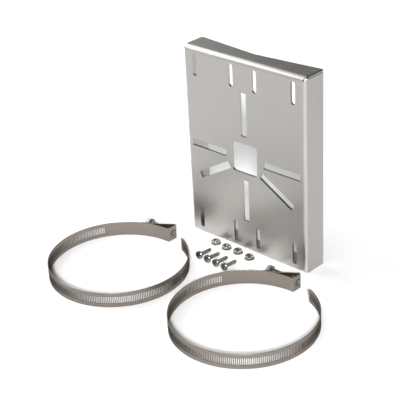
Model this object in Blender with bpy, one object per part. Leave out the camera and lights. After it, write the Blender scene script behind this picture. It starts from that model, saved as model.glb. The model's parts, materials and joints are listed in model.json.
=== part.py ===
"""Camera pole mounting set: a folded bracket plate, two worm drive band clamps, four screws and four lock nuts."""

import math

import bmesh
import bpy
from mathutils import Matrix, Vector

MM = 0.001

# Bracket plate, folded from one sheet with its front facing -Y
PLATE_WIDTH = 127.2
PLATE_HEIGHT = 171.6
PLATE_DEPTH = 22.3
SHEET = 2.0
BEND_RADIUS = 3.0
TOP_BEND_RADIUS = 4.6
BEND_STEPS = 5
FRONT_CORNER_ROUNDING = 0.3
CORNER_ROUNDING = 2.0
LOWER_CORNER_ROUNDING = 1.0
UPPER_EDGE_ROUNDING = 1.2
LOWER_EDGE_ROUNDING = 0.25
CORNER_RUN = 1.0
SADDLE_DEPTH = 6.1
SADDLE_ROUNDING = 30.0
CORNER_SLIT = 0.9
CORNER_SLIT_INSET = 1.65
CORNER_SLIT_START = 4.4
LOWER_SLIT = 1.0
RELIEF_HOLE = 1.3
RELIEF_HOLE_INSET = 2.2
RELIEF_HOLE_DROP = 2.6
CABLE_HOLE = 26.7
CABLE_HOLE_ROUNDING = 2.5
BAND_SLOT_LENGTH = 19.5
BAND_SLOT_WIDTH = 4.5
BAND_SLOT_COLUMNS = (12.25, 51.5)
BAND_SLOT_ROW = 70.5
CAMERA_SLOT_START = 19.7
CAMERA_SLOT_END = 58.0
CAMERA_SLOT_WIDTH = 6.4
CAMERA_SLOT_ROUNDING = 0.6
CAMERA_SLOT_ANGLES = (0, 90, 180, 210, 270, 330)

# Band clamps, each lying on the floor on the edge of its band
# Where each ring comes nearest to the screws and nuts, and the way from its middle to there
RING_NEAR_POINTS = {"a": ((-28.38, -43.04), (0.6, 0.8)), "b": ((24.44, -50.88), (-0.8, 0.6))}
BAND_WIDTH = 12.7
BAND_SHEET = 0.6
BAND_RADIUS = 58.7
BAND_FIXED_END = 90.2
BAND_SLOTS_START = 148.8
BAND_SLOTS_END = 428.5
BAND_TAIL_END = 430.5
TAIL_CORNER = 1.0
PLAIN_STEP = 4.0
SLOT_PITCH = 1.47
SLOT_OPENING = 0.75
SLOT_HEIGHT = 6.1
SLOTS_PER_FACET = 3

# Bridge, the folded strip on the fixed end of the band that carries the worm screw
BRIDGE_SHEET = 0.8
BRIDGE_HEIGHT = 11.6
BRIDGE_BEND = 1.3
BRIDGE_FOOT_START = 108.8
BRIDGE_FOOT_END = 116.5
BRIDGE_FACE_STEP = 0.5
SCREW_CLEARANCE = 0.3
TIP_CLEARANCE = 0.75

# Worm screw, lying along X across the bridge
WORM_OFFSET = 5.9
WORM_DIAMETER = 5.2
WORM_COLLAR = 6.6
WORM_COLLAR_LENGTH = 1.0
WORM_COLLAR_PLAY = 0.4
WORM_TIP = 4.4
WORM_TIP_REACH = 1.2
WORM_HEAD_START = 26.4
WORM_HEAD_LENGTH = 4.0
WORM_HEAD_FLATS = 7.94
WORM_HEAD_CHAMFER = 0.35
WORM_HEAD_SLOT_WIDTH = 1.0
WORM_HEAD_SLOT_DEPTH = 1.4

# Machine screws, each lying on the rim of its head and the end of its shank
SCREW_HEADS = ((-22.6, -35.4), (-12.9, -35.9), (-2.8, -36.4), (6.8, -36.6))
SCREW_TURNS = (4.6, 3.1, 4.6, 3.0)
SCREW_SHANK = 3.1
SCREW_LENGTH = 14.4
SCREW_HEAD = 7.0
SCREW_HEAD_HEIGHT = 2.3
SCREW_RIM = 0.9
SCREW_SLOT_WIDTH = 1.1
SCREW_SLOT_DEPTH = 1.0
SCREW_CROSS_REACH = 2.1

# Lock nuts, each standing on the teeth of its captive washer
NUT_PLACES = ((-29.2, -8.0), (-16.3, -8.9), (-3.8, -8.3), (10.2, -9.7))
NUT_TURNS = (10, 24, 2, 38)
NUT_FLATS = 7.0
NUT_HEIGHT = 2.2
NUT_CHAMFER_TOP = 6.2
NUT_BORE = 3.0
NUT_COLLAR = 4.2
NUT_LIP = 5.0
NUT_LIP_SHEET = 0.15
NUT_LIP_RISE = 0.05
WASHER_DIAMETER = 8.9
WASHER_SHEET = 0.45
WASHER_CONE = 1.0
WASHER_TEETH = 14
WASHER_TOOTH_LENGTH = 1.0
WASHER_TOOTH_SHARE = 0.6
WASHER_PLAY = 0.15

# Gap between pieces that rest on each other
SEAT_GAP = 0.3
# How far a cutter runs past the face that it cuts
OVERCUT = 1.0


def clear_scene():
    for item in list(bpy.data.objects):
        bpy.data.objects.remove(item, do_unlink=True)


def metal(name, color, roughness):
    material = bpy.data.materials.new(name)
    material.use_nodes = True
    shader = material.node_tree.nodes["Principled BSDF"]
    shader.inputs["Base Color"].default_value = (*color, 1.0)
    shader.inputs["Metallic"].default_value = 1.0
    shader.inputs["Roughness"].default_value = roughness
    return material


def add_object(name, mesh_data, material=None, parent=None, place=(0, 0, 0), turn=None):
    """The bmesh, in millimetres, as an object in metres."""
    bmesh.ops.recalc_face_normals(mesh_data, faces=mesh_data.faces)
    if mesh_data.calc_volume(signed=True) < 0:
        bmesh.ops.reverse_faces(mesh_data, faces=mesh_data.faces)
    bmesh.ops.scale(mesh_data, vec=(MM, MM, MM), verts=mesh_data.verts)
    mesh = bpy.data.meshes.new(name)
    mesh_data.to_mesh(mesh)
    mesh_data.free()
    item = bpy.data.objects.new(name, mesh)
    bpy.context.scene.collection.objects.link(item)
    if material:
        mesh.materials.append(material)
    item.parent = parent
    item.location = Vector(place) * MM
    if turn:
        item.rotation_euler = turn
    return item


def add_empty(name, place, parent=None):
    item = bpy.data.objects.new(name, None)
    bpy.context.scene.collection.objects.link(item)
    item.parent = parent
    item.location = Vector(place) * MM
    return item


def clamp_places():
    """The middle of each ring, one band radius from the point where the ring comes nearest to the small pieces."""
    return {
        letter: (x - BAND_RADIUS * way_x, y - BAND_RADIUS * way_y)
        for letter, ((x, y), (way_x, way_y)) in RING_NEAR_POINTS.items()
    }


def floor_centre():
    """The middle of the floor area that the laid out set covers, measured from the plate's front face."""
    places = clamp_places().values()
    lefts = [-PLATE_WIDTH / 2] + [x - BAND_RADIUS for x, y in places]
    rights = [PLATE_WIDTH / 2] + [x + BAND_RADIUS for x, y in places]
    fronts = [y - BAND_RADIUS for x, y in places]
    return (min(lefts) + max(rights)) / 2, (min(fronts) + PLATE_DEPTH) / 2


def cut(item, cutter):
    """Takes the cutter out of the item and hides the cutter."""
    cutter.hide_render = True
    cutter.display_type = "WIRE"
    cutter.parent = item
    modifier = item.modifiers.new(f"Cut {cutter.name}", "BOOLEAN")
    modifier.operation = "DIFFERENCE"
    modifier.object = cutter


def close_loop(shape, lower, upper):
    for i in range(len(lower)):
        j = (i + 1) % len(lower)
        shape.faces.new((lower[i], lower[j], upper[j], upper[i]))


def add_prism(shape, outline, low, high, matrix=None):
    """A closed prism over a flat outline in X and Y, from height low to high, moved by the matrix."""
    bottom = [shape.verts.new((x, y, low)) for x, y in outline]
    top = [shape.verts.new((x, y, high)) for x, y in outline]
    shape.faces.new(bottom[::-1])
    shape.faces.new(top)
    for i in range(len(outline)):
        j = (i + 1) % len(outline)
        shape.faces.new((bottom[i], bottom[j], top[j], top[i]))
    if matrix:
        bmesh.ops.transform(shape, matrix=matrix, verts=bottom + top)


def add_turned(shape, profile, sides, matrix=None, first_angle=0.0):
    """A closed body of revolution about Z. The profile's (radius, height) points run from axis to axis."""
    start = first_angle
    rings = []
    for radius, height in profile:
        if radius == 0:
            rings.append([shape.verts.new((0, 0, height))])
        else:
            angles = [start + 2 * math.pi * i / sides for i in range(sides)]
            rings.append([shape.verts.new((radius * math.cos(a), radius * math.sin(a), height)) for a in angles])
    for lower, upper in zip(rings, rings[1:]):
        for i in range(sides):
            j = (i + 1) % sides
            if len(lower) == 1:
                shape.faces.new((lower[0], upper[i], upper[j]))
            elif len(upper) == 1:
                shape.faces.new((lower[i], upper[0], lower[j]))
            else:
                shape.faces.new((lower[i], lower[j], upper[j], upper[i]))
    if matrix:
        bmesh.ops.transform(shape, matrix=matrix, verts=[v for ring in rings for v in ring])


def rounded_slot(length, width, rounding, steps):
    """The outline of a slot along X whose corners have this radius."""
    points = []
    for corner, (sx, sy) in enumerate(((1, 1), (-1, 1), (-1, -1), (1, -1))):
        centre_x = sx * (length / 2 - rounding)
        centre_y = sy * (width / 2 - rounding)
        for step in range(steps + 1):
            angle = math.pi / 2 * (corner + step / steps)
            points.append((centre_x + rounding * math.cos(angle), centre_y + rounding * math.sin(angle)))
    return [p for i, p in enumerate(points) if math.dist(p, points[i - 1]) > 1e-4]


def filleted(points, radius, steps):
    """The open path with each inner corner replaced by an arc of this radius."""
    path = [points[0]]
    for before, corner, after in zip(points, points[1:], points[2:]):
        corner_point = Vector(corner)
        toward_before = (Vector(before) - corner_point).normalized()
        toward_after = (Vector(after) - corner_point).normalized()
        half = toward_before.angle(toward_after) / 2
        centre = corner_point + (toward_before + toward_after).normalized() * radius / math.sin(half)
        first = corner_point + toward_before * radius / math.tan(half) - centre
        last = corner_point + toward_after * radius / math.tan(half) - centre
        for step in range(steps + 1):
            path.append(tuple(centre + first.slerp(last, step / steps).normalized() * radius))
    return path + [points[-1]]


def strip_outline(path, thickness):
    """The closed outline of a strip of this thickness centred on the path."""
    left, right = [], []
    for i, point in enumerate(path):
        here = Vector(point)
        into = (here - Vector(path[i - 1])).normalized() if i else None
        out = (Vector(path[i + 1]) - here).normalized() if i + 1 < len(path) else None
        along = ((into or out) + (out or into)).normalized()
        across = Vector((-along.y, along.x))
        stretch = 1 / max(across.dot(Vector((-(out or into).y, (out or into).x))), 0.5)
        left.append(tuple(here + across * thickness / 2 * stretch))
        right.append(tuple(here - across * thickness / 2 * stretch))
    return left + right[::-1]


def on_ring(radius, degrees):
    return (radius * math.cos(math.radians(degrees)), radius * math.sin(math.radians(degrees)))


FRONT_TO_BACK = Matrix.Rotation(math.radians(90), 4, "X")
ALONG_X = Matrix.Rotation(math.radians(90), 4, "Y")


def tray_outline(shape, inset, bend, upper_rounding, lower_rounding, back=None):
    """A closed loop round the tray where its sheet has turned by this bend, or at its back. The top bends wider."""
    side_bend, top_bend = BEND_RADIUS - inset, TOP_BEND_RADIUS - inset
    narrower = 1 - math.sin(bend)
    deeper = 1 - math.cos(bend)
    half = PLATE_WIDTH / 2 - inset - side_bend * narrower
    low = inset + side_bend * narrower
    high = PLATE_HEIGHT - inset - top_bend * narrower
    loop = []
    for corner, (side, upper) in enumerate(((1, True), (-1, True), (-1, False), (1, False))):
        rounding = upper_rounding if upper else lower_rounding
        centre_x = side * (half - rounding)
        centre_z = high - rounding if upper else low + rounding
        for step in range(BEND_STEPS + 1):
            angle = math.pi / 2 * (corner + step / BEND_STEPS)
            toward_top = math.sin(angle) ** 2 if upper else 0
            radius = side_bend + (top_bend - side_bend) * toward_top
            depth = inset + radius * deeper if back is None else back
            place = (centre_x + rounding * math.cos(angle), depth, centre_z + rounding * math.sin(angle))
            loop.append(shape.verts.new(place))
    return loop


def tray_block(inset, back):
    """A block inset from the plate's outer size and bent round its front. Behind the bends its corners turn sharper:
    the top flange ends over the side flanges, and the bottom flange lies between them."""
    shape = bmesh.new()
    loops = []
    for step in range(BEND_STEPS + 1):
        bend = math.pi / 2 * step / BEND_STEPS
        corner = (BEND_RADIUS - inset) * math.sin(bend)
        corner = min(max(corner, FRONT_CORNER_ROUNDING), CORNER_ROUNDING)
        lower_corner = min(corner, LOWER_CORNER_ROUNDING)
        loops.append(tray_outline(shape, inset, bend, corner, lower_corner))
    for depth in (TOP_BEND_RADIUS + CORNER_RUN, back):
        loops.append(tray_outline(shape, inset, math.pi / 2, UPPER_EDGE_ROUNDING, LOWER_EDGE_ROUNDING, depth))
    for before, after in zip(loops, loops[1:]):
        close_loop(shape, before, after)
    shape.faces.new(loops[0])
    shape.faces.new(loops[-1])
    return shape


def plate_openings():
    """Cutters through the front: cable hole, band slots, camera slots and bend reliefs."""
    shape = bmesh.new()
    middle = Matrix.Translation((0, 0, PLATE_HEIGHT / 2))
    low, high = -(SHEET + OVERCUT), OVERCUT
    square = rounded_slot(CABLE_HOLE, CABLE_HOLE, CABLE_HOLE_ROUNDING, 4)
    add_prism(shape, square, low, high, middle @ FRONT_TO_BACK)
    band_slot = rounded_slot(BAND_SLOT_LENGTH, BAND_SLOT_WIDTH, BAND_SLOT_WIDTH / 2, 4)
    upright = Matrix.Rotation(math.radians(90), 4, "Z")
    for column in BAND_SLOT_COLUMNS:
        for side in (-1, 1):
            for row in (-1, 1):
                place = Matrix.Translation((side * column, 0, row * BAND_SLOT_ROW))
                add_prism(shape, band_slot, low, high, middle @ place @ FRONT_TO_BACK @ upright)
    slot_length = CAMERA_SLOT_END - CAMERA_SLOT_START
    camera_slot = rounded_slot(slot_length, CAMERA_SLOT_WIDTH, CAMERA_SLOT_ROUNDING, 1)
    reach = Matrix.Translation((CAMERA_SLOT_START + slot_length / 2, 0, 0))
    for angle in CAMERA_SLOT_ANGLES:
        spoke = Matrix.Rotation(math.radians(angle), 4, "Z")
        add_prism(shape, camera_slot, low, high, middle @ FRONT_TO_BACK @ spoke @ reach)
    for side in (-1, 1):
        place = (side * (PLATE_WIDTH / 2 - RELIEF_HOLE_INSET), 0, PLATE_HEIGHT - RELIEF_HOLE_DROP)
        deep = low - CORNER_SLIT_START
        profile = ((0, deep), (RELIEF_HOLE / 2, deep), (RELIEF_HOLE / 2, high), (0, high))
        add_turned(shape, profile, 12, Matrix.Translation(place) @ FRONT_TO_BACK)
    return shape


def saddle_cutter():
    """Cuts the back edges of the top and bottom flanges to the shallow V that seats on the pole."""
    shape = bmesh.new()
    edge = PLATE_WIDTH / 2 - BEND_RADIUS
    v_shape = filleted(
        [(-edge, PLATE_DEPTH), (0, PLATE_DEPTH - SADDLE_DEPTH), (edge, PLATE_DEPTH)], SADDLE_ROUNDING, 6
    )
    beyond = PLATE_DEPTH + SADDLE_DEPTH
    outline = [(-edge, beyond), *v_shape, (edge, beyond)]
    add_prism(shape, outline, -OVERCUT, PLATE_HEIGHT + OVERCUT)
    return shape


def slit_cutters():
    """Cuts the open corner seams: under the top flange's ends through the sides, and beside the bottom flange's."""
    shape = bmesh.new()
    inner = PLATE_WIDTH / 2 - SHEET
    outer = PLATE_WIDTH / 2 + OVERCUT
    back = PLATE_DEPTH + OVERCUT
    high = PLATE_HEIGHT - CORNER_SLIT_INSET
    for side in (-1, 1):
        left, right = sorted((side * (inner - OVERCUT), side * outer))
        seam = [(left, CORNER_SLIT_START), (right, CORNER_SLIT_START), (right, back), (left, back)]
        add_prism(shape, seam, high - CORNER_SLIT, high)
        left, right = sorted((side * (inner - LOWER_SLIT), side * inner))
        seam = [(left, CORNER_SLIT_START), (right, CORNER_SLIT_START), (right, back), (left, back)]
        add_prism(shape, seam, -OVERCUT, SHEET + OVERCUT)
    return shape


def build_plate(material, floor):
    plate = add_object("bracket_plate", tray_block(0, PLATE_DEPTH), material, floor)
    inside = tray_block(SHEET, PLATE_DEPTH + OVERCUT)
    cut(plate, add_object("plate_inside", inside))
    cut(plate, add_object("plate_openings", plate_openings()))
    cut(plate, add_object("plate_saddle", saddle_cutter()))
    cut(plate, add_object("plate_slits", slit_cutters()))


def band_section(shape, degrees, clip=0.0):
    """The four corners of the band's cross-section at an angle: inside low, outside low, outside high, inside high."""
    inner, outer = BAND_RADIUS - BAND_SHEET, BAND_RADIUS
    corners = ((inner, clip), (outer, clip), (outer, BAND_WIDTH - clip), (inner, BAND_WIDTH - clip))
    return [shape.verts.new((*on_ring(radius, degrees), height)) for radius, height in corners]


def add_slotted_facet(shape, before, after, first_degrees, last_degrees):
    """One facet of the perforated band: both faces framed round its slots, the slots' walls and the band's edges."""
    pitch = (last_degrees - first_degrees) / SLOTS_PER_FACET
    half_opening = math.degrees(SLOT_OPENING / 2 / BAND_RADIUS)
    low = (BAND_WIDTH - SLOT_HEIGHT) / 2
    high = (BAND_WIDTH + SLOT_HEIGHT) / 2
    faces = []
    for radius, lower, upper in ((BAND_RADIUS - BAND_SHEET, 0, 3), (BAND_RADIUS, 1, 2)):
        slots = []
        for i in range(SLOTS_PER_FACET):
            middle = first_degrees + (i + 0.5) * pitch
            corners = ((-1, low), (1, low), (1, high), (-1, high))
            slots.append([shape.verts.new((*on_ring(radius, middle + s * half_opening), z)) for s, z in corners])
        under = [v for slot in slots for v in (slot[0], slot[1])]
        over = [v for slot in slots for v in (slot[3], slot[2])]
        shape.faces.new((before[lower], *under, after[lower]))
        shape.faces.new((before[upper], *over, after[upper]))
        posts = [(before[lower], before[upper])]
        for slot in slots:
            shape.faces.new((*posts[-1], slot[3], slot[0]))
            posts.append((slot[1], slot[2]))
        shape.faces.new((*posts[-1], after[upper], after[lower]))
        faces.append(slots)
    for inner, outer in zip(*faces):
        close_loop(shape, inner, outer)
    shape.faces.new((before[0], after[0], after[1], before[1]))
    shape.faces.new((before[3], after[3], after[2], before[2]))


def band_shape():
    shape = bmesh.new()
    plain_steps = math.ceil((BAND_SLOTS_START - BAND_FIXED_END) / PLAIN_STEP)
    slotted_arc = math.radians(BAND_SLOTS_END - BAND_SLOTS_START) * BAND_RADIUS
    facets = round(slotted_arc / (SLOT_PITCH * SLOTS_PER_FACET))
    angles = []
    for start, end, steps in (
        (BAND_FIXED_END, BAND_SLOTS_START, plain_steps),
        (BAND_SLOTS_START, BAND_SLOTS_END, facets),
    ):
        angles += [start + i / steps * (end - start) for i in range(steps)]
    angles += [BAND_SLOTS_END, BAND_TAIL_END - math.degrees(TAIL_CORNER / BAND_RADIUS), BAND_TAIL_END]
    sections = [band_section(shape, a, TAIL_CORNER if a == BAND_TAIL_END else 0) for a in angles]
    for i, (before, after) in enumerate(zip(sections, sections[1:])):
        if plain_steps <= i < plain_steps + facets:
            add_slotted_facet(shape, before, after, angles[i], angles[i + 1])
        else:
            close_loop(shape, before, after)
    shape.faces.new(sections[0])
    shape.faces.new(sections[-1])
    return shape


def bridge_path():
    """The middle line of the folded strip: up the end face, round the fold, down the slope and along the foot."""
    face_x = BRIDGE_FACE_STEP
    seat = BAND_RADIUS + SEAT_GAP + BRIDGE_SHEET / 2
    top = BAND_RADIUS + BRIDGE_HEIGHT - BRIDGE_SHEET / 2
    foot = [on_ring(seat, BRIDGE_FOOT_START + share * (BRIDGE_FOOT_END - BRIDGE_FOOT_START)) for share in (0, 0.5, 1)]
    rounded = filleted([(face_x, BAND_RADIUS - BAND_SHEET), (face_x, top), foot[0]], BRIDGE_BEND, 5)
    return rounded + foot[1:]


def worm_axis():
    """The worm screw's axis in the clamp's own frame: its distance from the ring's axis, and its height."""
    return BAND_RADIUS + WORM_OFFSET, BAND_WIDTH / 2


def build_bridge(name, material, clamp):
    shape = bmesh.new()
    add_prism(shape, strip_outline(bridge_path(), BRIDGE_SHEET), 0, BAND_WIDTH)
    bridge = add_object(f"{name}_bridge", shape, material, clamp)
    offset, height = worm_axis()
    holes = bmesh.new()
    face = BRIDGE_FACE_STEP - BRIDGE_SHEET / 2
    for radius, low, high in (
        (WORM_TIP / 2 + TIP_CLEARANCE, face - OVERCUT, face + BRIDGE_SHEET + OVERCUT),
        (WORM_DIAMETER / 2 + SCREW_CLEARANCE, -WORM_HEAD_START, face - OVERCUT - SCREW_CLEARANCE),
    ):
        profile = ((0, low), (radius, low), (radius, high), (0, high))
        add_turned(holes, profile, 16, Matrix.Translation((0, offset, height)) @ ALONG_X)
    cut(bridge, add_object(f"{name}_bridge_holes", holes))


def hexagon(flats, turn=0.0):
    corner = flats / math.sqrt(3)
    return [
        (corner * math.cos(math.radians(60 * i + turn)), corner * math.sin(math.radians(60 * i + turn)))
        for i in range(6)
    ]


def worm_screw_shape():
    """The screw along +Z: hexagon head at the bottom, worm, collar and tip, with the end face of the bridge at 0."""
    shape = bmesh.new()
    inner_face = BRIDGE_FACE_STEP - BRIDGE_SHEET / 2
    collar_end = inner_face - WORM_COLLAR_PLAY
    collar_start = collar_end - WORM_COLLAR_LENGTH
    tip_end = WORM_TIP_REACH
    head_loop_sides = 18
    first_angle = math.radians(30)
    worm, collar, tip = WORM_DIAMETER / 2, WORM_COLLAR / 2, WORM_TIP / 2
    head_base = -WORM_HEAD_START
    head_top = head_base - WORM_HEAD_LENGTH
    hexagon_corners = [
        [shape.verts.new((x * scale, y * scale, z)) for x, y in hexagon(WORM_HEAD_FLATS, 30)]
        for z, scale in (
            (head_top, 0.9),
            (head_top + WORM_HEAD_CHAMFER, 1.0),
            (head_base, 1.0),
        )
    ]
    for lower, upper in zip(hexagon_corners, hexagon_corners[1:]):
        close_loop(shape, lower, upper)
    shape.faces.new(hexagon_corners[0][::-1])
    rings = []
    for radius, height in (
        (worm, head_base),
        (worm, collar_start),
        (collar, collar_start),
        (collar, collar_end),
        (tip, collar_end),
        (tip, tip_end - WORM_HEAD_CHAMFER),
        (tip - WORM_HEAD_CHAMFER, tip_end),
    ):
        angles = [first_angle + 2 * math.pi * i / head_loop_sides for i in range(head_loop_sides)]
        rings.append([shape.verts.new((radius * math.cos(a), radius * math.sin(a), height)) for a in angles])
    for lower, upper in zip(rings, rings[1:]):
        close_loop(shape, lower, upper)
    shape.faces.new(rings[-1])
    fan = head_loop_sides // 6
    for i in range(6):
        corner, after = hexagon_corners[-1][i], hexagon_corners[-1][(i + 1) % 6]
        arc = [rings[0][(i * fan + k) % head_loop_sides] for k in range(fan + 1)]
        shape.faces.new((corner, after, arc[-1], *arc[-2:0:-1], arc[0]))
    return shape


def build_worm_screw(name, material, clamp):
    offset, height = worm_axis()
    screw = add_object(
        f"{name}_worm_screw",
        worm_screw_shape(),
        material,
        clamp,
        (0, offset, height),
        (0, math.radians(90), 0),
    )
    slot = bmesh.new()
    head_top = -WORM_HEAD_START - WORM_HEAD_LENGTH
    outline = rounded_slot(WORM_HEAD_FLATS * 2, WORM_HEAD_SLOT_WIDTH, WORM_HEAD_SLOT_WIDTH / 4, 1)
    add_prism(slot, outline, head_top - OVERCUT, head_top + WORM_HEAD_SLOT_DEPTH)
    cut(screw, add_object(f"{name}_worm_slot", slot))


def build_clamp(letter, place, finish, floor):
    name = f"clamp_{letter}"
    clamp = add_empty(name, (*place, 0), floor)
    add_object(f"{name}_band", band_shape(), finish["band"], clamp)
    build_bridge(name, finish["band"], clamp)
    build_worm_screw(name, finish["fastener"], clamp)


def screw_shape():
    """A pan head screw along +Y, with the underside of its head at the origin."""
    shape = bmesh.new()
    head, shank = SCREW_HEAD / 2, SCREW_SHANK / 2
    crown = SCREW_HEAD_HEIGHT - SCREW_RIM
    dome = [
        (head * math.cos(math.radians(a)), SCREW_RIM + crown * math.sin(math.radians(a))) for a in (30, 60)
    ]
    profile = [(0, SCREW_HEAD_HEIGHT), *dome[::-1], (head, SCREW_RIM), (head, 0), (shank, 0)]
    profile += [(shank, -SCREW_LENGTH + SCREW_SHANK / 8), (shank * 0.75, -SCREW_LENGTH), (0, -SCREW_LENGTH)]
    add_turned(shape, profile, 18, FRONT_TO_BACK)
    return shape


def screw_recess():
    """A combination recess: one slot right across the head and a shorter arm across it."""
    shape = bmesh.new()
    low = SCREW_HEAD_HEIGHT - SCREW_SLOT_DEPTH
    high = SCREW_HEAD_HEIGHT + OVERCUT
    half = SCREW_SLOT_WIDTH / 2
    long_arm, short_arm = SCREW_HEAD / 2 + OVERCUT, SCREW_CROSS_REACH
    outline = []
    for x, y in ((1, 1), (-1, 1), (-1, -1), (1, -1)):
        corner = [(x * short_arm, y * half), (x * half, y * half), (x * half, y * long_arm)]
        outline += corner if x == y else corner[::-1]
    add_prism(shape, outline, low, high, FRONT_TO_BACK)
    return shape


def build_screws(material, floor):
    head, shank = SCREW_HEAD / 2, SCREW_SHANK / 2
    tilt = math.atan((head - shank) / SCREW_LENGTH)
    for number, ((x, y), turn) in enumerate(zip(SCREW_HEADS, SCREW_TURNS), 1):
        screw = add_object(
            f"machine_screw_{number}",
            screw_shape(),
            material,
            floor,
            (x, y, head * math.cos(tilt)),
            (-tilt, 0, math.radians(turn)),
        )
        cut(screw, add_object(f"screw_recess_{number}", screw_recess()))


def nut_shape():
    """A hexagon nut on Z with a collar below, which passes through the washer and is swaged to a lip under it."""
    shape = bmesh.new()
    base = WASHER_CONE + WASHER_PLAY
    bore, collar = NUT_BORE / 2, NUT_COLLAR / 2
    sides = 18
    chamfer = (NUT_FLATS / math.sqrt(3) - NUT_CHAMFER_TOP / 2) * math.tan(math.radians(30))
    top = base + NUT_HEIGHT
    angles = [2 * math.pi * i / sides for i in range(sides)]
    lower_hexagon = [shape.verts.new((x, y, base)) for x, y in hexagon(NUT_FLATS)]
    upper_hexagon = [shape.verts.new((x, y, top - chamfer)) for x, y in hexagon(NUT_FLATS)]

    def circle(radius, height):
        return [shape.verts.new((radius * math.cos(a), radius * math.sin(a), height)) for a in angles]

    def join_hexagon(corners, ring):
        fan = sides // 6
        for i in range(6):
            arc = [ring[(i * fan + k) % sides] for k in range(fan + 1)]
            shape.faces.new((corners[i], corners[(i + 1) % 6], *arc[::-1]))

    close_loop(shape, lower_hexagon, upper_hexagon)
    rings = [
        circle(NUT_CHAMFER_TOP / 2, top),
        circle(bore + 0.3, top),
        circle(bore, top - 0.3),
        circle(bore, NUT_LIP_RISE),
        circle(NUT_LIP / 2, NUT_LIP_RISE),
        circle(NUT_LIP / 2, NUT_LIP_RISE + NUT_LIP_SHEET),
        circle(collar, NUT_LIP_RISE + NUT_LIP_SHEET),
        circle(collar, base),
    ]
    join_hexagon(upper_hexagon, rings[0])
    for lower, upper in zip(rings, rings[1:]):
        close_loop(shape, lower, upper)
    join_hexagon(lower_hexagon, rings[-1])
    return shape


def washer_shape():
    """A coned tooth washer on Z whose teeth point down and outward."""
    shape = bmesh.new()
    hole = NUT_COLLAR / 2 + WASHER_PLAY
    rim = WASHER_DIAMETER / 2
    root = rim - WASHER_TOOTH_LENGTH
    fall = (WASHER_CONE - WASHER_SHEET) / (rim - hole)

    def ring_top(radius):
        return WASHER_CONE - fall * (radius - hole)

    columns = []
    for tooth in range(WASHER_TEETH):
        for share in (0.0, WASHER_TOOTH_SHARE):
            angle = 360 * (tooth + share) / WASHER_TEETH
            columns.append(angle)

    def point(radius, angle, below):
        height = ring_top(radius) - (WASHER_SHEET if below else 0)
        return shape.verts.new((*on_ring(radius, angle), height))

    inner = [(point(hole, a, False), point(hole, a, True)) for a in columns]
    middle = [(point(root, a, False), point(root, a, True)) for a in columns]
    outer = [(point(rim, a, False), point(rim, a, True)) for a in columns]
    count = len(columns)
    for i in range(count):
        j = (i + 1) % count
        shape.faces.new((inner[i][0], middle[i][0], middle[j][0], inner[j][0]))
        shape.faces.new((inner[j][1], middle[j][1], middle[i][1], inner[i][1]))
        shape.faces.new((inner[j][0], inner[j][1], inner[i][1], inner[i][0]))
        if i % 2:
            shape.faces.new((middle[i][0], middle[i][1], middle[j][1], middle[j][0]))
            continue
        shape.faces.new((middle[i][0], outer[i][0], outer[j][0], middle[j][0]))
        shape.faces.new((middle[j][1], outer[j][1], outer[i][1], middle[i][1]))
        shape.faces.new((outer[i][0], outer[i][1], outer[j][1], outer[j][0]))
        shape.faces.new((middle[i][0], middle[i][1], outer[i][1], outer[i][0]))
        shape.faces.new((outer[j][0], outer[j][1], middle[j][1], middle[j][0]))
    return shape


def build_nuts(material, floor):
    for number, ((x, y), turn) in enumerate(zip(NUT_PLACES, NUT_TURNS), 1):
        stand = add_empty(f"nut_stand_{number}", (x, y, 0), floor)
        add_object(f"lock_nut_{number}", nut_shape(), material, stand, (0, 0, 0), (0, 0, math.radians(turn)))
        add_object(f"tooth_washer_{number}", washer_shape(), material, stand)


def main():
    clear_scene()
    finish = {
        "plate": metal("Brushed stainless sheet", (0.62, 0.61, 0.58), 0.38),
        "band": metal("Stainless band", (0.50, 0.47, 0.44), 0.34),
        "fastener": metal("Bright fastener steel", (0.48, 0.47, 0.45), 0.22),
    }
    centre_x, centre_y = floor_centre()
    floor = add_empty("floor", (-centre_x, -centre_y, 0))
    build_plate(finish["plate"], floor)
    for letter, place in clamp_places().items():
        build_clamp(letter, place, finish, floor)
    build_screws(finish["fastener"], floor)
    build_nuts(finish["fastener"], floor)


main()
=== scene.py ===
"""Looks of a camera pole mounting set: bracket plate, two open band clamps, machine screws and tooth
washer nuts."""

import json
import math

import bmesh
import bpy
import numpy as np
from bpy.props import FloatProperty, FloatVectorProperty, IntProperty, PointerProperty
from mathutils import Matrix, Vector


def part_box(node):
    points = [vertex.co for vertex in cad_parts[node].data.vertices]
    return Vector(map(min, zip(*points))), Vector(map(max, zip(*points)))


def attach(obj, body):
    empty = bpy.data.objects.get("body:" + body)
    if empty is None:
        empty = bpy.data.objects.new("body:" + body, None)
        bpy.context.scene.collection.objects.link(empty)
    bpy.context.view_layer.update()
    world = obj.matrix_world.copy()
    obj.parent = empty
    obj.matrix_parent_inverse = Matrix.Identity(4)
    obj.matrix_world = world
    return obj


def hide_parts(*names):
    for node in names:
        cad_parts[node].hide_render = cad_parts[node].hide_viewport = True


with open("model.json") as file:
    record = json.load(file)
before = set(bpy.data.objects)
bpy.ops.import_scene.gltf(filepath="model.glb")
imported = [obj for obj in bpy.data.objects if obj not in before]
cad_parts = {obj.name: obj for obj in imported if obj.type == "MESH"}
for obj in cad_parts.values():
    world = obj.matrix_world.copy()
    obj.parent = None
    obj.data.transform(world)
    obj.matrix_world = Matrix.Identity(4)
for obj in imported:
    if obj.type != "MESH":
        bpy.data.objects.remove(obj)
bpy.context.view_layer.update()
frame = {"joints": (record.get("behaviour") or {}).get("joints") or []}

bl_info = {
    "name": "Pole mounting set",
    "version": (1, 0, 0),
    "blender": (4, 5, 0),
    "location": "3D View > Sidebar > Pole mount",
    "description": "Dresses the bracket plate, band clamps, screws and nuts of a camera pole mounting set",
    "category": "Object",
}

SET_BODY = "laid_out_set"
CLAMPS = ("a", "b")
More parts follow.
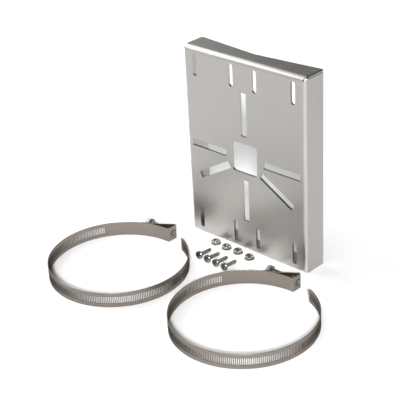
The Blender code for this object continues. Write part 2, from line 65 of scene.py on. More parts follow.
# Where the underside of each screw's head lies, and how far its shank turns towards -X
SCREW_HEADS = ((-0.0265, 0.0278), (-0.0168, 0.0273), (-0.0067, 0.0268), (0.0029, 0.0266))
SCREW_TURNS = (4.6, 3.1, 4.6, 3.0)
NUT_TURNS = (10, 24, 2, 38)


def length(name, value, description):
    return FloatProperty(
        name=name, description=description, default=value, min=0.0, unit="LENGTH", precision=5
    )


def share(name, value, description, highest=1.0):
    return FloatProperty(
        name=name, description=description, default=value, min=0.0, max=highest, subtype="FACTOR"
    )


def turn(name, degrees, description):
    return FloatProperty(name=name, description=description, default=math.radians(degrees), unit="ROTATION")


def tint(name, value, description):
    return FloatVectorProperty(
        name=name, description=description, default=value, size=3, min=0, max=1, subtype="COLOR"
    )


class PlateSettings(bpy.types.PropertyGroup):
    """Sizes of the folded bracket plate."""

    sheet: length("Sheet", 0.0020, "Thickness of the folded sheet")
    bend: length("Side bend", 0.0030, "Outer radius of the side and bottom bends")
    top_bend: length("Top bend", 0.0046, "Outer radius of the top bend")
    corner: length("Corner rounding", 0.0020, "Largest rounding of the front corners")
    upper_edge: length("Upper edge rounding", 0.0012, "Rounding of the top flange's ends")
    edge_break: length("Edge break", 0.00016, "Width of the broken edges of the cut sheet")
    saddle: length("Saddle depth", 0.0061, "Depth of the shallow V in the flanges")
    cable_hole: length("Cable hole", 0.0267, "Side of the square cable hole")
    band_slot: length("Band slot length", 0.0195, "Length of the rounded slots for the bands")
    band_slot_width: length("Band slot width", 0.0045, "Width of the rounded slots for the bands")
    camera_slot_start: length("Camera slot start", 0.0197, "From the middle to a camera slot's near end")
    camera_slot_end: length("Camera slot end", 0.0580, "From the middle to a camera slot's far end")
    camera_slot_width: length("Camera slot width", 0.0064, "Width of the camera slots")


class ClampSettings(bpy.types.PropertyGroup):
    """Sizes of a band clamp."""

    width: length("Band width", 0.0127, "Height of the band that lies on its edge")
    sheet: length("Band sheet", 0.0006, "Thickness of the band")
    radius: length("Ring radius", 0.0587, "Outer radius of the ring that the band makes")
    pitch: length("Slot pitch", 0.00147, "Distance from slot to slot along the band")
    opening: length("Slot opening", 0.00075, "Width of a slot")
    slot_height: length("Slot height", 0.0061, "Height of a slot")
    bridge_sheet: length("Bridge sheet", 0.0008, "Thickness of the folded bridge")
    bridge_reach: length("Bridge reach", 0.0116, "How far the bridge stands out from the band")
    worm_offset: length("Worm offset", 0.0059, "Distance from the band to the worm screw's axis")
    worm_root: length("Worm root", 0.0021, "Radius at the foot of the worm's thread")
    worm_crest: length("Worm crest", 0.00275, "Radius at the crest of the worm's thread")


class FastenerSettings(bpy.types.PropertyGroup):
    """Sizes of the machine screws, lock nuts and tooth washers."""

    pitch: length("Thread pitch", 0.00079, "Pitch of the screws' and nuts' thread")
    crest: length("Thread crest", 0.00164, "Radius at the crest of the screws' thread")
    root: length("Thread root", 0.00147, "Radius at the foot of the screws' thread")
    shank: length("Shank length", 0.0144, "Length of a screw under its head")
    head: length("Head radius", 0.0035, "Radius of a screw's head")
    head_height: length("Head height", 0.0023, "Height of a screw's head")
    nut_flats: length("Nut flats", 0.0070, "Width of a nut across its flats")
    nut_height: length("Nut height", 0.0022, "Height of a nut above its washer")
    teeth: IntProperty(name="Teeth", description="Number of teeth round a washer", default=14, min=6, max=30)


class FinishSettings(bpy.types.PropertyGroup):
    """Colours and roughness of the metals."""

    sheet_tint: tint("Sheet", (0.458, 0.446, 0.425), "Colour of the brushed sheet")
    sheet_roughness: share("Sheet roughness", 0.37, "Roughness of the brushed sheet")
    band_tint: tint("Band", (0.262, 0.234, 0.207), "Colour of the rolled band")
    band_roughness: share("Band roughness", 0.33, "Roughness of the rolled band")
    fastener_tint: tint("Fastener", (0.258, 0.246, 0.230), "Colour of the bright fasteners")
    fastener_roughness: share("Fastener roughness", 0.24, "Roughness of the bright fasteners")


class StageSettings(bpy.types.PropertyGroup):
    """Camera, floor and light."""

    camera_place: FloatVectorProperty(
        name="Camera place",
        description="Where the camera stands",
        default=(0.5646, -0.5686, 0.4939),
        unit="LENGTH",
    )
    camera_yaw: turn("Yaw", 44.55, "Turn of the view towards -X")
    camera_pitch: turn("Pitch", 27.58, "Fall of the view")
    camera_roll: turn("Roll", -3.14, "Roll of the view")
    lens: FloatProperty(name="Lens", description="Focal length in millimetres", default=103.8)
    floor_tone: share("Floor tone", 0.69, "Pale grey of the floor")
    # Painted pools of light on the floor, which the plate shows as painted reflections
    painted_light_near: share("Near tone", 0.12, "What is added to the floor's tone in front of the plate's foot")
    painted_light_ahead: share("Tone ahead", 0.17, "What is added to the floor's tone towards the camera")
    sky_low: share("Low sky", 0.95, "Brightness of the surroundings near the horizon", 2.0)
    sky_left: share("Left sky", 0.70, "Brightness of the surroundings on the left", 2.0)
    sky_right: share("Right sky", 0.06, "Brightness of the surroundings on the right and behind", 2.0)
    key_watts: FloatProperty(
        name="Key lamp", description="Power of the large soft lamp", default=7.4, unit="POWER"
    )
    sun: FloatProperty(
        name="Distant lamp", description="Light of the distant lamp on a face turned to it", default=5.0
    )


def settings():
    return bpy.context.scene.pole_mount


# Mesh helpers

def grid_faces(rows, columns, close_rows=False, close_columns=False, keep=None):
    """Quads between neighbouring points of a grid that is numbered row by row. keep masks the cells
    that stay."""
    row, column = np.meshgrid(
        np.arange(rows if close_rows else rows - 1),
        np.arange(columns if close_columns else columns - 1),
        indexing="ij",
    )
    next_row, next_column = (row + 1) % rows, (column + 1) % columns
    quads = np.stack(
        [
            row * columns + column,
            row * columns + next_column,
            next_row * columns + next_column,
            next_row * columns + column,
        ],
        axis=-1,
    )
    return quads[keep] if keep is not None else quads.reshape(-1, 4)


def moved(points, matrix):
    """Points, as an array of any shape that ends in three, moved by a 4 by 4 matrix."""
    table = np.array(matrix)
    return points @ table[:3, :3].T + table[:3, 3]


def linked(name, data):
    item = bpy.data.objects.new(name, data)
    bpy.context.scene.collection.objects.link(item)
    return item


def mesh_object(name, points, faces):
    """An object at the origin with this mesh, its doubles merged and its faces pointing outwards."""
    mesh = bpy.data.meshes.new(name)
    mesh.from_pydata(points.reshape(-1, 3).tolist(), [], [list(face) for face in faces])
    shape = bmesh.new()
    shape.from_mesh(mesh)
    bmesh.ops.remove_doubles(shape, verts=shape.verts, dist=1e-7)
    bmesh.ops.dissolve_degenerate(shape, edges=shape.edges, dist=1e-7)
    bmesh.ops.recalc_face_normals(shape, faces=shape.faces)
    if shape.calc_volume(signed=True) < 0:
        bmesh.ops.reverse_faces(shape, faces=shape.faces)
    shape.to_mesh(mesh)
    shape.free()
    return linked(name, mesh)


def joined(parts):
    """One point list and one face list from several (points, faces) pairs."""
    points, faces, count = [], [], 0
    for part_points, part_faces in parts:
        flat = part_points.reshape(-1, 3)
        points.append(flat)
        faces += [[int(corner) + count for corner in face] for face in part_faces]
        count += len(flat)
    return np.concatenate(points), faces


def loft(loops):
    """A closed body over loops of equal length: quads between them and a flat face over each end."""
    rows, columns = loops.shape[:2]
    faces = grid_faces(rows, columns, close_columns=True).tolist()
    faces.append(list(range(columns)))
    faces.append(list(range((rows - 1) * columns, rows * columns)))
    return loops, faces


def carved(item, cutters):
    """Takes the cutters out of the item and leaves a plain mesh."""
    for cutter in cutters:
        modifier = item.modifiers.new("Carve", "BOOLEAN")
        modifier.operation = "DIFFERENCE"
        modifier.solver = "EXACT"
        modifier.object = cutter
    bpy.context.view_layer.update()
    graph = bpy.context.evaluated_depsgraph_get()
    mesh = bpy.data.meshes.new_from_object(item.evaluated_get(graph))
    item.modifiers.clear()
    item.data = mesh
    for cutter in cutters:
        bpy.data.objects.remove(cutter, do_unlink=True)


def points_of(mesh):
    points = np.empty(len(mesh.vertices) * 3)
    mesh.vertices.foreach_get("co", points)
    return points.reshape(-1, 3)


def mark(mesh, name, domain, values):
    """Keeps one value for each point or face under this name, for the materials to read."""
    attribute = mesh.attributes.new(name, "FLOAT", domain)
    attribute.data.foreach_set("value", np.asarray(values, np.float32))


def mark_dull_and_painted_shade(mesh, matrix, amount):
    """Marks duller metal and painted shade on a piece's points. The amount is a function of each point's
    own radius and height in the place that the matrix gives, from 0 to 1."""
    own = moved(points_of(mesh), matrix.inverted())
    mark(mesh, "dull_and_painted_shade", "POINT", amount(np.hypot(own[:, 0], own[:, 1]), own[:, 2]))


def finish_piece(item, body, slot, replaced, crease=40.0, edge_break=0.0):
    """Gives a piece its metal, its smooth faces with sharp creases, and its place in the frame."""
    item.data.materials.clear()
    item.data.materials.append(metal_for(slot))
    item.data.shade_smooth()
    if edge_break:
        modifier = item.modifiers.new("Edge break", "BEVEL")
        modifier.limit_method = "ANGLE"
        modifier.angle_limit = math.radians(crease)
        modifier.width = edge_break
        modifier.segments = 2
        modifier.harden_normals = True
    else:
        item.data.set_sharp_from_angle(angle=math.radians(crease))
    modifier = item.modifiers.new("Flat faces stay flat", "WEIGHTED_NORMAL")
    modifier.keep_sharp = True
    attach(item, body)
    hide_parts(*replaced)


def rounded_outline(size_x, size_y, rounding, steps):
    """Four quarter circles joined by straight lines: the outline of a rectangle with rounded corners."""
    sides = np.array([(1, 1), (-1, 1), (-1, -1), (1, -1)])[:, None, :]
    angles = (np.arange(4)[:, None] + np.linspace(0, 1, steps + 1)) * np.pi / 2
    arc = np.stack([np.cos(angles), np.sin(angles)], axis=-1) * rounding
    centres = sides * (np.array([size_x, size_y]) / 2 - rounding)
    return (centres + arc).reshape(-1, 2)


def box_body(low, high):
    """A plain box from its low corner to its high corner, for cutting only."""
    (x0, y0, z0), (x1, y1, z1) = low, high
    ring = np.array([(x0, y0), (x1, y0), (x1, y1), (x0, y1)])
    loops = np.stack([np.column_stack([ring, np.full(4, z)]) for z in (z0, z1)])
    return loft(loops)


def turned_body(parts, sides):
    """Points turned round Z in equal steps. Each part is a pair of radii and heights: one number, one
    for each row, or one for each row and angle."""

    def all_round(values):
        grid = np.asarray(values, float)
        grid = grid if grid.ndim == 2 else grid.reshape(-1, 1)
        return np.broadcast_to(grid, (len(grid), sides))

    angles = around(sides)
    radii, heights = (np.concatenate([all_round(part[i]) for part in parts]) for i in (0, 1))
    return np.stack([radii * np.cos(angles), radii * np.sin(angles), heights], axis=-1)


def around(sides):
    """The angles of this many equal steps round a turn, as one row."""
    return np.linspace(0, 2 * np.pi, sides, endpoint=False)[None, :]


def thread_wave(heights, angles, pitch):
    """A trapezium wave from 0 at the thread's foot to 1 at its crest, which climbs one pitch for each
    turn."""
    phase = (heights / pitch - angles / (2 * np.pi)) % 1.0
    return np.clip(1.6 - np.abs(phase - 0.5) * 4.6, 0.0, 1.0)


def hexagon_radius(angles, flats):
    """Distance from the middle to a hexagon's side: half its flats over the cosine from a flat."""
    from_flat = (angles + np.pi / 6) % (np.pi / 3) - np.pi / 6
    return flats / 2 / np.cos(from_flat)


def filleted_path(points, radius, steps):
    """The path with each inner corner replaced by an arc that touches both of its sides."""
    path = [np.array(points[0], float)]
    for before, corner, after in zip(points, points[1:], points[2:]):
        corner = np.array(corner, float)
        back = (before - corner) / np.linalg.norm(before - corner)
        onward = (after - corner) / np.linalg.norm(after - corner)
        half = math.acos(float(np.clip(back @ onward, -1, 1))) / 2
        middle = (back + onward) / np.linalg.norm(back + onward)
        centre = corner + middle * radius / math.sin(half)
        first = corner + back * radius / math.tan(half) - centre
        last = corner + onward * radius / math.tan(half) - centre
        sweep = math.pi - 2 * half
        share_along = np.linspace(0, 1, steps + 1)[:, None]
        weights = (np.sin((1 - share_along) * sweep), np.sin(share_along * sweep))
        path.extend(centre + (first * weights[0] + last * weights[1]) / math.sin(sweep))
    path.append(np.array(points[-1], float))
    return np.array(path)


# Materials

# For each slot: name, fineness of the grain along each axis, its depth in metres, change of tone, tint
# of worn edges, size of the clouds, and how bright the metal is when seen edge on
METALS = {
    "plate": ("Brushed sheet", (40, 400, 900), 0.00001, 0.03, (0.66, 0.65, 0.62), 28.0, 1.0),
    "band": ("Rolled band", (60, 60, 1400), 0.00002, 0.05, (0.44, 0.41, 0.37), 60.0, 0.25),
    "fastener": ("Bright fastener steel", (500, 500, 500), 0.00001, 0.06, (0.45, 0.43, 0.41), 300.0, 1.0),
}
# What a mark on the mesh makes of the metal's tone: a painted highlight lightens it, and dull metal and
# painted shade darken it
MARKS = (("painted_highlight", 1.22), ("dull_and_painted_shade", 0.10))
ROUGHNESS_SPREAD = 0.28
WEAR_POLISH = 0.4
SPECK_TONE, SPECK_SHARE = 0.55, 0.25
BUMP_SHARE = 0.35


def feed(tree, made, sockets):
    """Links a node's socket where its value is another node's output, and sets the plain value otherwise."""
    for key, value in sockets.items():
        if hasattr(value, "is_linked"):
            tree.links.new(value, made.inputs[key])
        else:
            made.inputs[key].default_value = value


def node(tree, kind, sockets, **values):
    made = tree.nodes.new(kind)
    for key, value in values.items():
        setattr(made, key, value)
    feed(tree, made, sockets)
    return made.outputs


def math_node(tree, operation, *given, clamp=False):
    return node(tree, "ShaderNodeMath", dict(enumerate(given)), operation=operation, use_clamp=clamp)[0]


def mixed(tree, factor, first, second):
    sockets = {"Factor": factor, "A": first, "B": second}
    return node(tree, "ShaderNodeMix", sockets, data_type="RGBA")["Result"]


def set_out(tree):
    """Sets the nodes side by side in rows, so that they can be read in the editor."""
    for number, made in enumerate(tree.nodes):
        made.location = (number % 6 * 260, -(number // 6) * 340)


def grain_nodes(group, given):
    """Fine lines stretched along one way, with broad bands in them: the marks of rolling and brushing."""
    scaled = {0: given["Vector"], 1: given["Fineness"]}
    stretched = node(group, "ShaderNodeVectorMath", scaled, operation="MULTIPLY")[0]
    wide = node(group, "ShaderNodeVectorMath", {0: stretched, "Scale": 0.12}, operation="SCALE")[0]
    fine = {"Vector": stretched, "Scale": 4.0, "Detail": 4.0, "Roughness": 0.65}
    broad = {"Vector": wide, "Scale": 3.0, "Detail": 2.0}
    return {
        "Lines": node(group, "ShaderNodeTexNoise", fine)[0],
        "Bands": node(group, "ShaderNodeTexNoise", broad)[0],
    }


def handling_nodes(group, given):
    """Soft cloudy patches and a few fine specks: fingerprints, oil and dust from handling."""
    sockets = {"Vector": given["Vector"], "Scale": given["Size"], "Detail": 2.0}
    clouds = node(group, "ShaderNodeTexNoise", sockets)
    specks = node(group, "ShaderNodeTexVoronoi", {"Vector": given["Vector"], "Scale": 700.0})
    return {"Clouds": clouds[0], "Specks": math_node(group, "LESS_THAN", specks["Distance"], 0.07)}


def edge_nodes(group, given):
    """How far the surface's normal differs from one that is averaged round it, broken up by noise: worn
    edges."""
    rounded = node(group, "ShaderNodeBevel", {"Radius": given["Reach"]}, samples=4)[0]
    own = node(group, "ShaderNodeNewGeometry", {})["Normal"]
    compare = node(group, "ShaderNodeVectorMath", {0: rounded, 1: own}, operation="DOT_PRODUCT")["Value"]
    noise = node(group, "ShaderNodeTexNoise", {"Vector": given["Vector"], "Scale": 350.0})[0]
    turned = math_node(group, "SUBTRACT", 1.0, compare)
    strong = math_node(group, "MULTIPLY", turned, 5.0, clamp=True)
    return {"Wear": math_node(group, "MULTIPLY", strong, noise, clamp=True)}


# For each shader group: the function that fills it, and its own input beside the place on the piece
GROUPS = {
    "Rolled grain": (grain_nodes, "NodeSocketVector", "Fineness", (40, 400, 900)),
    "Handling marks": (handling_nodes, "NodeSocketFloat", "Size", 45.0),
    "Worn edges": (edge_nodes, "NodeSocketFloat", "Reach", 0.0003),
}


def shader_group(name):
    """The shader group of this name, built when it is first asked for."""
    group = bpy.data.node_groups.get(name)
    if group:
        return group
    group = bpy.data.node_groups.new(name, "ShaderNodeTree")
    fill, kind, label, default = GROUPS[name]
    group.interface.new_socket(name="Vector", in_out="INPUT", socket_type="NodeSocketVector")
    group.interface.new_socket(name=label, in_out="INPUT", socket_type=kind).default_value = default
    results = fill(group, group.nodes.new("NodeGroupInput").outputs)
    for label in results:
        group.interface.new_socket(name=label, in_out="OUTPUT", socket_type="NodeSocketFloat")
    feed(group, group.nodes.new("NodeGroupOutput"), results)
    set_out(group)
    return group


def metal_for(slot):
    """The worn metal of a slot: grain in its height and tone, clouds in its roughness, and brighter,
    smoother worn edges. It is made once."""
    name, fineness, grain_depth, tone_change, wear_tint, cloud_size, edge_on = METALS[slot]
    material = bpy.data.materials.get(name)
    if material:
        return material
    look = settings().finish
    color, roughness = {
        "plate": (look.sheet_tint, look.sheet_roughness),
        "band": (look.band_tint, look.band_roughness),
        "fastener": (look.fastener_tint, look.fastener_roughness),
    }[slot]
    material = bpy.data.materials.new(name)
    material.use_nodes = True
    tree = material.node_tree
    place = node(tree, "ShaderNodeTexCoord", {})["Object"]

    def effect(group_name, **values):
        return node(tree, "ShaderNodeGroup", {"Vector": place, **values}, node_tree=shader_group(group_name))

    grain = effect("Rolled grain", Fineness=fineness)
    marks = effect("Handling marks", Size=cloud_size)
    wear = effect("Worn edges")["Wear"]
    clouds = math_node(tree, "MULTIPLY", marks["Clouds"], 0.4)
    tone = tree.nodes.new("ShaderNodeValToRGB")
    feed(tree, tone, {0: math_node(tree, "MULTIPLY_ADD", grain["Bands"], 0.6, clouds)})
    for stop, position, change in zip(tone.color_ramp.elements, (0.1, 0.9), (-tone_change, tone_change)):
        stop.position = position
        stop.color = (*[min(channel * (1 + change), 1.0) for channel in color], 1)
    worn = mixed(tree, wear, tone.outputs[0], (*wear_tint, 1))
    specks = math_node(tree, "MULTIPLY", marks["Specks"], SPECK_SHARE)
    shown = mixed(tree, specks, worn, (*[channel * SPECK_TONE for channel in color], 1))
    # The marks on the mesh lay painted highlight, dull metal and painted shade over the tone
    for label, factor in MARKS:
        changed = node(tree, "ShaderNodeVectorMath", {0: shown, "Scale": factor}, operation="SCALE")[0]
        amount = node(tree, "ShaderNodeAttribute", {}, attribute_name=label)["Fac"]
        shown = mixed(tree, amount, shown, changed)
    low, high = roughness * (1 - ROUGHNESS_SPREAD), roughness * (1 + ROUGHNESS_SPREAD)
    cloudy = node(tree, "ShaderNodeMapRange", {"Value": marks["Clouds"], "To Min": low, "To Max": high})[0]
    smoother = math_node(tree, "MULTIPLY", wear, roughness * WEAR_POLISH)
    relief = {"Strength": BUMP_SHARE, "Distance": grain_depth, "Height": grain["Lines"]}
    feed(tree, tree.nodes["Principled BSDF"], {
        "Metallic": 1.0,
        "Specular Tint": (edge_on, edge_on, edge_on, 1),
        "Base Color": shown,
        "Roughness": math_node(tree, "SUBTRACT", cloudy, smoother),
        "Normal": node(tree, "ShaderNodeBump", relief)[0],
    })
    set_out(tree)
    return material


# Bracket plate

FRONT_CORNER = 0.0003
LOWER_CORNER = 0.0010
LOWER_EDGE = 0.00025
CORNER_RUN = 0.0010
CABLE_HOLE_ROUNDING = 0.0025
CAMERA_SLOT_ROUNDING = 0.0006
CAMERA_SLOT_DEGREES = (0, 90, 180, 210, 270, 330)
BAND_SLOT_COLUMNS = (-0.0515, -0.01225, 0.01225, 0.0515)
BAND_SLOT_ROWS = (-0.0705, 0.0705)
RELIEF_HOLE, RELIEF_INSET, RELIEF_DROP = 0.0013, 0.0022, 0.0026
SADDLE_ROUNDING = 0.030
SEAM_START, SEAM_LOW, SEAM_HIGH = 0.0044, 0.00255, 0.00165
OVERCUT = 0.001


def placed(body, corner):
    points, faces = body
    return points + corner, faces


def tray_loops(size, inset, back):
    """Rounded rectangles round the plate, one for each step of the bend from the front face to its
    flanges. The side's and the bottom's bend share a radius, and the top's is wider, so a loop's depth
    grows towards the top by the squared sine of the angle round its corner. Behind the bends the loops
    run straight to the back."""
    sizes = settings().plate
    corner_steps, bend_steps = 8, 16
    sides = np.repeat((1, -1, -1, 1), corner_steps + 1)
    uppers = np.repeat((1, 1, 0, 0), corner_steps + 1)
    angles = ((np.arange(4)[:, None] + np.linspace(0, 1, corner_steps + 1)) * np.pi / 2).ravel()
    side_bend, top_bend = sizes.bend - inset, sizes.top_bend - inset
    bends = np.concatenate([np.linspace(0, np.pi / 2, bend_steps + 1), (np.pi / 2, np.pi / 2)])[:, None]
    narrower, deeper = 1 - np.sin(bends), 1 - np.cos(bends)
    rounding = np.clip(side_bend * np.sin(bends), FRONT_CORNER, sizes.corner)
    upper_rounding, lower_rounding = rounding.copy(), rounding.copy()
    upper_rounding[-2:] = sizes.upper_edge
    lower_rounding[-2:] = LOWER_EDGE
    rounding = np.where(uppers, upper_rounding, np.minimum(lower_rounding, LOWER_CORNER))
    half = size[0] / 2 - inset - side_bend * narrower
    low = inset + side_bend * narrower
    high = size[2] - inset - top_bend * narrower
    x = sides * (half - rounding) + rounding * np.cos(angles)
    z = np.where(uppers, high - rounding, low + rounding) + rounding * np.sin(angles)
    radius = side_bend + (top_bend - side_bend) * np.sin(angles) ** 2 * uppers
    y = inset + radius * deeper
    y[-2] = sizes.top_bend + CORNER_RUN
    y[-1] = back
    return np.stack([x, y, z], axis=-1)


def prism(outline, axis, start, end):
    """A closed body over an outline in the two other axes, from start to end along this axis."""
    return loft(np.stack([np.insert(outline, axis, place, axis=1) for place in (start, end)]))


def plate_holes(size):
    """Prisms through the front: cable hole, band slots, camera slots and the bend reliefs in the upper
    corners."""
    sizes = settings().plate
    middle = size[2] / 2
    upright = np.array([(0, -1), (1, 0)])
    holes = []

    def add_hole(outline, across, up):
        holes.append(prism(outline + (across, up), 1, -OVERCUT, sizes.sheet + OVERCUT))

    add_hole(rounded_outline(sizes.cable_hole, sizes.cable_hole, CABLE_HOLE_ROUNDING, 8), 0, middle)
    band_slot = rounded_outline(sizes.band_slot, sizes.band_slot_width, sizes.band_slot_width / 2 - 1e-5, 10)
    for across in BAND_SLOT_COLUMNS:
        for up in BAND_SLOT_ROWS:
            add_hole(band_slot @ upright, across, middle + up)
    slot_length = sizes.camera_slot_end - sizes.camera_slot_start
    camera_slot = rounded_outline(slot_length, sizes.camera_slot_width, CAMERA_SLOT_ROUNDING, 4)
    camera_slot[:, 0] += sizes.camera_slot_start + slot_length / 2
    for angle in np.radians(CAMERA_SLOT_DEGREES):
        spoke = np.array([(math.cos(angle), math.sin(angle)), (-math.sin(angle), math.cos(angle))])
        add_hole(camera_slot @ spoke, 0, middle)
    for side in (-1, 1):
        relief = rounded_outline(RELIEF_HOLE, RELIEF_HOLE, RELIEF_HOLE / 2 - 1e-5, 6)
        add_hole(relief, side * (size[0] / 2 - RELIEF_INSET), size[2] - RELIEF_DROP)
    return joined(holes)


def plate_saddle(size):
    """A prism over the shallow V of the flanges' back edges."""
    sizes = settings().plate
    edge, behind = size[0] / 2 - sizes.bend, size[1] + 0.006
    corners = np.array([(-edge, size[1]), (0, size[1] - sizes.saddle), (edge, size[1])])
    dip = filleted_path(corners, SADDLE_ROUNDING, 16)
    outline = np.concatenate([[(-edge, behind)], dip, [(edge, behind)]])
    return prism(outline, 2, -OVERCUT, size[2] + OVERCUT)


def plate_seams(size):
    """Boxes through the open seams where the flanges' ends meet, two at each side."""
    sheet = settings().plate.sheet
    inner, back = size[0] / 2 - sheet, size[1] + OVERCUT
    seams = []
    for side in (-1, 1):
        for outer, low, high in (
            (size[0] / 2 + OVERCUT, size[2] - SEAM_LOW, size[2] - SEAM_HIGH),
            (inner, -OVERCUT, sheet + OVERCUT),
        ):
            left, right = sorted((side * (inner - OVERCUT), side * outer))
            seams.append(box_body((left, SEAM_START, low), (right, back, high)))
    return joined(seams)


def mark_painted_bend_highlight(mesh, corner, size):
    """Marks a painted highlight on the outside of the side bends: twice the product of a point's
    shares of the bend's radius across and along, which is the sine of twice its angle."""
    bend = settings().plate.bend
    points = points_of(mesh) - corner
    across = (np.abs(points[:, 0]) - (size[0] / 2 - bend)) / bend
    ahead = 1 - points[:, 1] / bend
    painted_highlight = np.clip(2 * np.clip(across, 0, 1) * np.clip(ahead, 0, 1), 0, 1)
    outside = np.hypot(np.clip(across, 0, 2), np.clip(ahead, 0, 2)) > 0.9
    mark(mesh, "painted_highlight", "POINT", painted_highlight * outside)


class BuildPlate(bpy.types.Operator):
    """Folds the bracket plate from its sheet, with its openings, seams and broken edges"""

    bl_idname = "pole_mount.build_plate"
    bl_label = "Bracket plate"

    def execute(self, context):
        low, high = (np.array(corner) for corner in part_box("bracket_plate"))
        size = high - low
        corner = np.array([(low[0] + high[0]) / 2, low[1], low[2]])
        sizes = settings().plate
        plate = mesh_object("bracket_plate_sheet", *placed(loft(tray_loops(size, 0.0, size[1])), corner))
        cutters = {
            "cut_inside": loft(tray_loops(size, sizes.sheet, size[1] + OVERCUT)),
            "cut_holes": plate_holes(size),
            "cut_saddle": plate_saddle(size),
            "cut_seams": plate_seams(size),
        }
        carved(plate, [mesh_object(name, *placed(body, corner)) for name, body in cutters.items()])
        mark_painted_bend_highlight(plate.data, corner, size)
        finish_piece(plate, SET_BODY, "plate", ["bracket_plate"], edge_break=sizes.edge_break)
        return {"FINISHED"}


# Band clamps

ALONG_X = Matrix.Rotation(math.radians(90), 4, "Y")
# Degrees round the ring: where the band leaves the bridge's corner, its first and last slot, and its
# free end
BAND_DEGREES = (92.4, 148.8, 428.5, 430.5)
BRIDGE_FOOT_DEGREES = (116.5, 108.8)
BRIDGE_CORNER_DEGREES = 91.2
BRIDGE_FACE_X, BRIDGE_LIFT = 0.0009, 0.00004
FOLD_ROUNDING, CORNER_ROUNDING = 0.0017, 0.0010
EDGE_ROUNDING_SHARE = 0.3
TAIL_CLIP, TAIL_CLIP_START = 0.0010, 0.00035
# How far a slot's sides have drawn apart at its six rows, from 0 where they meet to 1
SLOT_ENDS = (0.45, 0.85, 1.0, 1.0, 0.85, 0.45)
# Radius, start and end of the holes in the bridge's end face and in its slope
WORM_HOLES = ((0.00295, 0.0, 0.0030), (0.0030, -0.0264, -0.0013))


def clamp_centre(letter):
    low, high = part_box(f"clamp_{letter}_band")
    return (low[0] + high[0]) / 2, low[1] + settings().clamp.radius


def worm_axis(letter):
    """The place on the worm screw's axis where its bridge's end face is counted from."""
    sizes = settings().clamp
    across, back = clamp_centre(letter)
    return Matrix.Translation((across, back + sizes.radius + sizes.worm_offset, sizes.width / 2)) @ ALONG_X


def on_ring(radius, degrees):
    angle = np.radians(degrees)
    return np.stack([radius * np.cos(angle), radius * np.sin(angle)], axis=-1)


def band_section(sizes):
    """The strip's section as a closed loop of rows, each with its share of the sheet's thickness and
    its height: the face that looks outwards from the ring, the upper edge, the face that looks inwards,
    and the lower edge."""
    low, high = (sizes.width - sizes.slot_height) / 2, (sizes.width + sizes.slot_height) / 2
    slot_rows = np.array([low, low + 0.00008, low + 0.00022, high - 0.00022, high - 0.00008, high])
    share_off = EDGE_ROUNDING_SHARE
    round_off = sizes.sheet * share_off
    turns = np.linspace(0, np.pi / 2, 4)[1:]
    face = np.concatenate([[round_off], slot_rows, [sizes.width - round_off]])
    rise = sizes.width - round_off + round_off * np.sin(turns)
    depth = 1 - share_off + share_off * np.cos(turns)
    quarter_out = np.column_stack([depth, rise])
    quarter_in = np.column_stack([1 - depth[::-1], rise[::-1]])[:-1]
    upper = np.concatenate([quarter_out, [(1 - depth[-1], rise[-1])], quarter_in])
    lower = np.column_stack([1 - upper[:, 0], sizes.width - upper[:, 1]])
    outward = np.column_stack([np.ones(8), face])
    inward = np.column_stack([np.zeros(8), face[::-1]])
    outer_start = 1
    inner_start = outer_start + len(face) + len(upper)
    return np.concatenate([outward, upper, inward, lower]), outer_start, inner_start


def bridge_path(sizes):
    """The line of the folded strip's visible face, from the foot's free end down the slope, round the
    fold, down the end face and round a tight corner to the band."""
    inner = sizes.radius - sizes.sheet
    foot = on_ring(sizes.radius + sizes.bridge_sheet + BRIDGE_LIFT, np.linspace(*BRIDGE_FOOT_DEGREES, 9))
    fold = np.array((BRIDGE_FACE_X, sizes.radius + sizes.bridge_reach))
    corner = np.array((BRIDGE_FACE_X, inner))
    folded = filleted_path(np.array([foot[-1], fold, corner]), FOLD_ROUNDING, 12)
    tight = filleted_path(np.array([fold, corner, on_ring(inner, BRIDGE_CORNER_DEGREES)]), CORNER_ROUNDING, 7)
    path = np.concatenate([foot, [foot[-1] * 0.97 + folded[1] * 0.03], folded[1:-1], tight[1:]])
    sheet = np.full(len(path), sizes.bridge_sheet)
    sheet[-9:] = np.linspace(sizes.bridge_sheet, sizes.sheet, 9)
    steps = np.diff(path, axis=0)
    steps /= np.linalg.norm(steps, axis=1)[:, None]
    before = np.concatenate([steps[:1], steps])
    after = np.concatenate([steps, steps[-1:]])
    along = before + after
    along /= np.linalg.norm(along, axis=1)[:, None]
    across = np.column_stack([along[:, 1], -along[:, 0]])
    across /= np.maximum((across * np.column_stack([before[:, 1], -before[:, 0]])).sum(axis=1), 0.5)[:, None]
    return path, across * sheet[:, None]


